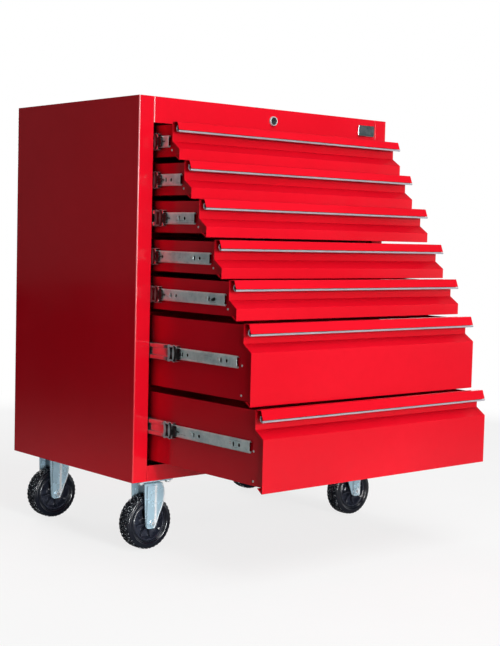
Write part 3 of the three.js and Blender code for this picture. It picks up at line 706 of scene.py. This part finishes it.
def build_rivets(name, dome, heights, drawer, sign, material, body):
    bm = bmesh.new()
    for z in heights:
        add_lathe(bm, dome, 20, place(sign * RIVET_X, RIVET_Y - drawer.pull, z), "x",
                  sign=sign, capped=True)
    finish_mesh(name, bm, [material], body, sharp=50)


for number, drawer in enumerate(DRAWERS, 1):
    for side, sign in SIDES.items():
        build_rivets(f"rivets_drawer_{number}_{side}", RIVET_DOME, drawer.rivets, drawer, sign,
                     RIVET, f"drawer_{number}")
        if drawer.height > TALL_DRAWER:
            build_rivets(f"painted_rivet_{number}_{side}", PAINTED_DOME,
                         [drawer.bottom + drawer.height - PAINTED_DROP], drawer, sign,
                         PAINT[number % 4], f"drawer_{number}")

# ---------------------------------------------------------------- slide fittings
# outlines (y from the middle rail's front end, z from the slide centre)
RETAINER = [
    (24.5, -13.2), (22.4, -8.4), (21.0, 0), (22.4, 8.4), (24.5, 13.2),
    (11.5, 13.2), (13.4, 8.4), (14.6, 0), (13.4, -8.4), (11.5, -13.2)]
CAGE = [
    (6.5, -18.2), (12.0, -18.2), (13.4, -16.2), (22.0, -16.2), (23.4, -18.2), (29.5, -18.2),
    (30.6, -15.0), (29.2, 0), (30.6, 15.0), (29.5, 18.2), (23.4, 18.2), (22.0, 16.2),
    (13.4, 16.2), (12.0, 18.2), (6.5, 18.2), (5.4, 14.0), (4.6, 0), (5.4, -14.0)]
LEVER_BLOCK = [
    (1.5, -11.0), (-5.0, -12.0), (-10.0, -10.6), (-9.2, -4.2), (-11.4, -2.8),
    (-11.4, 2.8), (-9.2, 4.2), (-10.0, 10.6), (-5.0, 12.0), (1.5, 11.0)]
LEVER_TAIL = [(-9, -1.2), (-16, -0.5), (-19.6, -1.4), (-20, 0.8), (-16, 1.5), (-9, 1.4)]
TAILLESS_DRAWER = 6
LAST_SHADED_CAGE = 5


def arc(centre_y, radius, start, stop, steps=14):
    angles = [math.radians(start + (stop - start) * k / steps) for k in range(steps + 1)]
    return [(centre_y + radius * math.cos(angle), radius * math.sin(angle)) for angle in angles]


LEVER_CRESCENT = arc(31.0, 31.0, start=213, stop=147) + arc(38.5, 31.5, start=147, stop=213)


def build_slide_part(name, parts, drawer, sign, material, body, bevel):
    """parts: outline, inner x, outer x"""
    bm = bmesh.new()
    for outline, inner, outer in parts:
        placed = [(drawer.rail_front + y, drawer.slide_z + z) for y, z in outline]
        add_side_prism(bm, placed, sign, inner, outer)
    finish_mesh(name, bm, [material], body, bevel)


for number, drawer in enumerate(DRAWERS, 1):
    # crescent in front of the rail, block over the inner rail, thin tail
    lever = [(LEVER_CRESCENT, 338.0, 341.7), (LEVER_BLOCK, 336.9, 340.6)]
    if number != TAILLESS_DRAWER:
        lever.append((LEVER_TAIL, 337.2, 339.6))
    # painted shade: the upper drawers' cages take the darkened copy
    cage_material = ZINC_CAGE_SHADED if number <= LAST_SHADED_CAGE else ZINC_CAGE
    for side, sign in SIDES.items():
        rail = f"middle_{side}_{number}"
        # waisted black plate set in the web, then the notched cage plate, then the lever
        build_slide_part(f"slide_retainer_{side}_{number}", [(RETAINER, 339.2, 341.75)],
                         drawer, sign, BLACK, rail, bevel=0.0003)
        build_slide_part(f"slide_cage_{side}_{number}", [(CAGE, 340.9, 341.58)],
                         drawer, sign, cage_material, rail, bevel=0.0002)
        build_slide_part(f"slide_lever_{side}_{number}", lever,
                         drawer, sign, BLACK, rail, bevel=0.0003)

# oval tabs embossed behind each slot of the inner rails; their paler, less metallic zinc is a
# painted highlight
SLOT_Y = (50, 180)                  # from the inner rail's front end
TAB_BEHIND, TAB_RISE = 9, 1.5       # tab centre from the slot and the slide centre
TAB_HALF_Y, TAB_HALF_Z = 3.6, 3.0
TAB_POINTS = 14
for number, drawer in enumerate(DRAWERS, 1):
    for side, sign in SIDES.items():
        bm = bmesh.new()
        for slot_y in SLOT_Y:
            y = drawer.setback - drawer.pull + slot_y + TAB_BEHIND
            z = drawer.slide_z + TAB_RISE
            turns = [2 * math.pi * j / TAB_POINTS for j in range(TAB_POINTS)]
            oval = [(y + TAB_HALF_Y * math.cos(turn), z + TAB_HALF_Z * math.sin(turn))
                    for turn in turns]
            add_side_prism(bm, oval, sign, 336.0, 336.65)
        finish_mesh(f"rail_tabs_{side}_{number}", bm, [ZINC_TAB_HIGHLIGHT], f"drawer_{number}",
                    bevel=0.0002)

# ---------------------------------------------------------------- lock bezel and badge
LOCK_Z = 812.3
# section (radius, distance out from the stile face)
BEZEL_SECTION = [(8.7, -0.5), (8.7, 4.0), (9.0, 4.7), (9.7, 5.0), (10.4, 4.7), (10.8, 3.9),
                 (11.0, 0.8), (11.0, -0.3)]
bm = bmesh.new()
add_lathe(bm, BEZEL_SECTION, 56, place(0, 0, LOCK_Z), "y", sign=-1)
finish_mesh("lock_bezel", bm, [BEZEL], "cabinet", sharp=30)

BADGE_LEFT, BADGE_RIGHT, BADGE_BOTTOM, BADGE_TOP = 279.5, 334.5, 798.5, 824.5
BADGE_RIM = 1.1
BARS, BAR_INSET, BAR_PITCH, BAR_WIDTH, BAR_MARGIN = 9, 8, 4.9, 1.0, 4


def badge_outline(inset, radius, steps=4):
    """Badge rectangle drawn in by inset, with rounded corners."""
    edge = inset + radius
    left, right = BADGE_LEFT + edge, BADGE_RIGHT - edge
    bottom, top = BADGE_BOTTOM + edge, BADGE_TOP - edge
    points = []
    for x, z, start in ((right, top, 0), (left, top, 90), (left, bottom, 180),
                        (right, bottom, 270)):
        for k in range(steps + 1):
            angle = math.radians(start + 90 * k / steps)
            points.append((x + radius * math.cos(angle), z + radius * math.sin(angle)))
    return points


bm = bmesh.new()
add_prism(bm, badge_outline(inset=0, radius=1.6), "y", -4.4, -0.15)
finish_mesh("badge_body", bm, [CHROME], "cabinet", bevel=0.0005)
bm = bmesh.new()
add_prism(bm, badge_outline(inset=BADGE_RIM, radius=1.0), "y", -4.75, -4.2)
for k in range(BARS):
    left = BADGE_LEFT + BAR_INSET + k * BAR_PITCH
    right = left + BAR_WIDTH
    bottom, top = BADGE_BOTTOM + BAR_MARGIN, BADGE_TOP - BAR_MARGIN
    add_prism(bm, [(left, bottom), (right, bottom), (right, top), (left, top)], "y", -4.95, -4.7)
finish_mesh("badge_face", bm, [BADGE], "cabinet", bevel=0.0002)


# ---------------------------------------------------------------- floor
def floor_material():
    """Pale floor that fades to white for the camera and glows in some reflections."""
    mat = new_material("floor_pale")
    rays = mat.node("ShaderNodeLightPath").outputs
    camera, glossy = rays["Is Camera Ray"], rays["Is Glossy Ray"]
    position = mat.geometry("Position")
    length = mat.node("ShaderNodeVectorMath", {0: position}, operation="LENGTH")
    distance = length.outputs["Value"]
    direction = mat.node("ShaderNodeVectorMath", {0: position}, operation="NORMALIZE").outputs[0]

    # the camera sees a darker diffuse floor than the other rays do
    pale = mat.fade((0.90, 0.90, 0.90), (0.94, 0.94, 0.94),
                    mat.noise(scale=3.0, detail=4, rough=0.5), between=(0.3, 0.7))
    near = mat.ramp(distance, between=(3.2, 1.2), to=(0.06, 0.34))
    grey = mat.node("ShaderNodeCombineColor", {0: near, 1: near, 2: near}).outputs[0]
    diffuse = mat.node("ShaderNodeBsdfDiffuse", {"Color": mat.mix(camera, grey, pale)})

    # glow in reflections: far out to the right, and a weaker one at the front right
    toward = mat.dot(direction, Vector((0.9, 0.42, 0)).normalized())
    far_right = mat.multiply(mat.ramp(toward, between=(0.75, 0.95), to=(0.0, 0.8)),
                             mat.ramp(distance, between=(0.7, 1.2)))
    far_right = mat.multiply(far_right, glossy)
    toward = mat.dot(direction, Vector((0.55, -0.83, 0)).normalized())
    front_right = mat.ramp(toward, between=(0.55, 0.92), to=(0.0, 0.14))
    strength = mat.add(far_right, mat.multiply(glossy, front_right))
    glow = mat.node("ShaderNodeEmission", {"Strength": strength})
    lit = mat.node("ShaderNodeAddShader", {0: diffuse.outputs[0], 1: glow.outputs[0]})

    white = mat.node("ShaderNodeEmission", {"Color": (1, 1, 1), "Strength": 1.0})
    whiteness = mat.math("MAXIMUM",
                         mat.multiply(mat.ramp(distance, between=(0.9, 2.6)), camera),
                         mat.multiply(camera, 0.78))
    mat.surface(mat.node("ShaderNodeMixShader",
                         {0: whiteness, 1: lit.outputs[0], 2: white.outputs[0]}))
    return mat.owner


def build_floor(half=12, z=-0.0004):
    material = floor_material()
    mesh = bpy.data.meshes.new("floor")
    corners = [(-half, -half, z), (half, -half, z), (half, half, z), (-half, half, z)]
    mesh.from_pydata(corners, [], [(0, 1, 2, 3)])
    mesh.materials.append(material)
    obj = bpy.data.objects.new("floor", mesh)
    scene.collection.objects.link(obj)


scene.view_settings.view_transform = "Standard"
scene.view_settings.look = "None"
build_floor()


# ---------------------------------------------------------------- world
# soft round panels seen in reflections: direction, cosine at the rim and at full, strength
PANELS = [
    ((-0.66, 0.74, 0.05), (0.2, 1.0), 0.04), ((0.88, -0.48, 0.02), (0.962, 1.0), 1.9),
    ((0.9, 0.42, -0.05), (0.80, 0.96), 1.5), ((-0.3, -0.55, 0.78), (0.93, 0.985), 2.4)]
REFLECTED_BASE = 0.07
AMBIENT = 0.135


def build_world():
    """White to the camera, panels to glossy rays, an even dim light to the rest."""
    scene.world = bpy.data.worlds.new("studio")
    sky = Shader(scene.world, "ShaderNodeOutputWorld")
    terms = [sky.ramp(sky.dot(sky.coords["Generated"], Vector(direction).normalized()),
                      between, to=(0.0, strength))
             for direction, between, strength in PANELS]
    glow = terms[0]
    for term in terms[1:] + [REFLECTED_BASE]:
        glow = sky.node("ShaderNodeMath", {0: glow, 1: term}, operation="ADD").outputs[0]
    glossy = sky.node("ShaderNodeLightPath").outputs["Is Glossy Ray"]
    strength = sky.node("ShaderNodeMix", {0: glossy, 2: AMBIENT, 3: glow}, data_type="FLOAT")
    light = sky.node("ShaderNodeBackground", {0: (0.97, 0.985, 1.0), 1: strength.outputs[0]})
    white = sky.node("ShaderNodeBackground", {0: (1, 1, 1), 1: 1.0})
    camera = sky.node("ShaderNodeLightPath").outputs["Is Camera Ray"]
    sky.surface(sky.node("ShaderNodeMixShader",
                         {0: camera, 1: light.outputs[0], 2: white.outputs[0]}))


build_world()


# ---------------------------------------------------------------- lights
def add_light(name, kind, location, target, power):
    light = bpy.data.lights.new(name, kind)
    light.energy = power
    obj = bpy.data.objects.new(name, light)
    scene.collection.objects.link(obj)
    obj.location = location
    obj.rotation_mode = "QUATERNION"
    obj.rotation_quaternion = (Vector(target) - Vector(location)).to_track_quat("-Z", "Y")
    return light


def area(name, location, target, size, power, colour=(1, 1, 1)):
    """size: width and height in metres"""
    light = add_light(name, "AREA", location, target, power)
    light.shape = "RECTANGLE"
    light.size, light.size_y = size
    light.color = colour


def spot(name, location, target, half_angle, power):
    light = add_light(name, "SPOT", location, target, power)
    light.spot_size = math.radians(2 * half_angle)
    light.spot_blend = 1.0
    light.shadow_soft_size = 0.12


area("key", (-0.60, -4.3, 1.25), (0, -0.2, 0.6), size=(0.8, 0.9), power=118,
     colour=(1.0, 0.985, 0.97))
area("low_key", (-1.62, -4.0, 0.52), (0, -0.2, 0.3), size=(0.8, 0.8), power=33)
area("top", (-0.2, -1.9, 3.0), (0, -0.1, 0.5), size=(2.2, 2.2), power=52)
area("back_fill", (0.9, 4.2, 2.0), (0, 0.2, 0.5), size=(2.0, 2.0), power=70)
spot("castor_fill_left", (-1.5, -3.2, 0.10), (-0.33, 0.14, 0.055), half_angle=3.8, power=240)
spot("castor_fill_rear", (-1.5, -3.2, 0.10), (-0.335, 0.364, 0.07), half_angle=1.3, power=110)
spot("castor_fill_right", (-1.1, -3.2, 0.10), (0.32, 0.36, 0.055), half_angle=3.0, power=210)
scene.cycles.caustics_reflective = False
scene.cycles.caustics_refractive = False

# ---------------------------------------------------------------- camera
CAMERA_PLACE = place(-1990.6, -2251.1, 547.2)
AZIMUTH, ELEVATION, ROLL = (math.radians(angle) for angle in (-40.696, 3.945, 1.453))


def build_camera():
    data = bpy.data.cameras.new("camera")
    camera = bpy.data.objects.new("camera", data)
    scene.collection.objects.link(camera)
    data.sensor_width = 36.0
    data.lens = 71.26997
    data.clip_start, data.clip_end = 0.05, 60
    back = Vector((math.sin(AZIMUTH) * math.cos(ELEVATION),
                   -math.cos(AZIMUTH) * math.cos(ELEVATION), math.sin(ELEVATION)))
    level = (-back).cross(Z_DIR).normalized()
    upright = level.cross(-back)
    right = level * math.cos(ROLL) + upright * math.sin(ROLL)
    top = -level * math.sin(ROLL) + upright * math.cos(ROLL)
    rows = [tuple(row) for row in zip(right, top, back, CAMERA_PLACE)]
    camera.matrix_world = Matrix(rows + [(0, 0, 0, 1)])
    scene.camera = camera


build_camera()
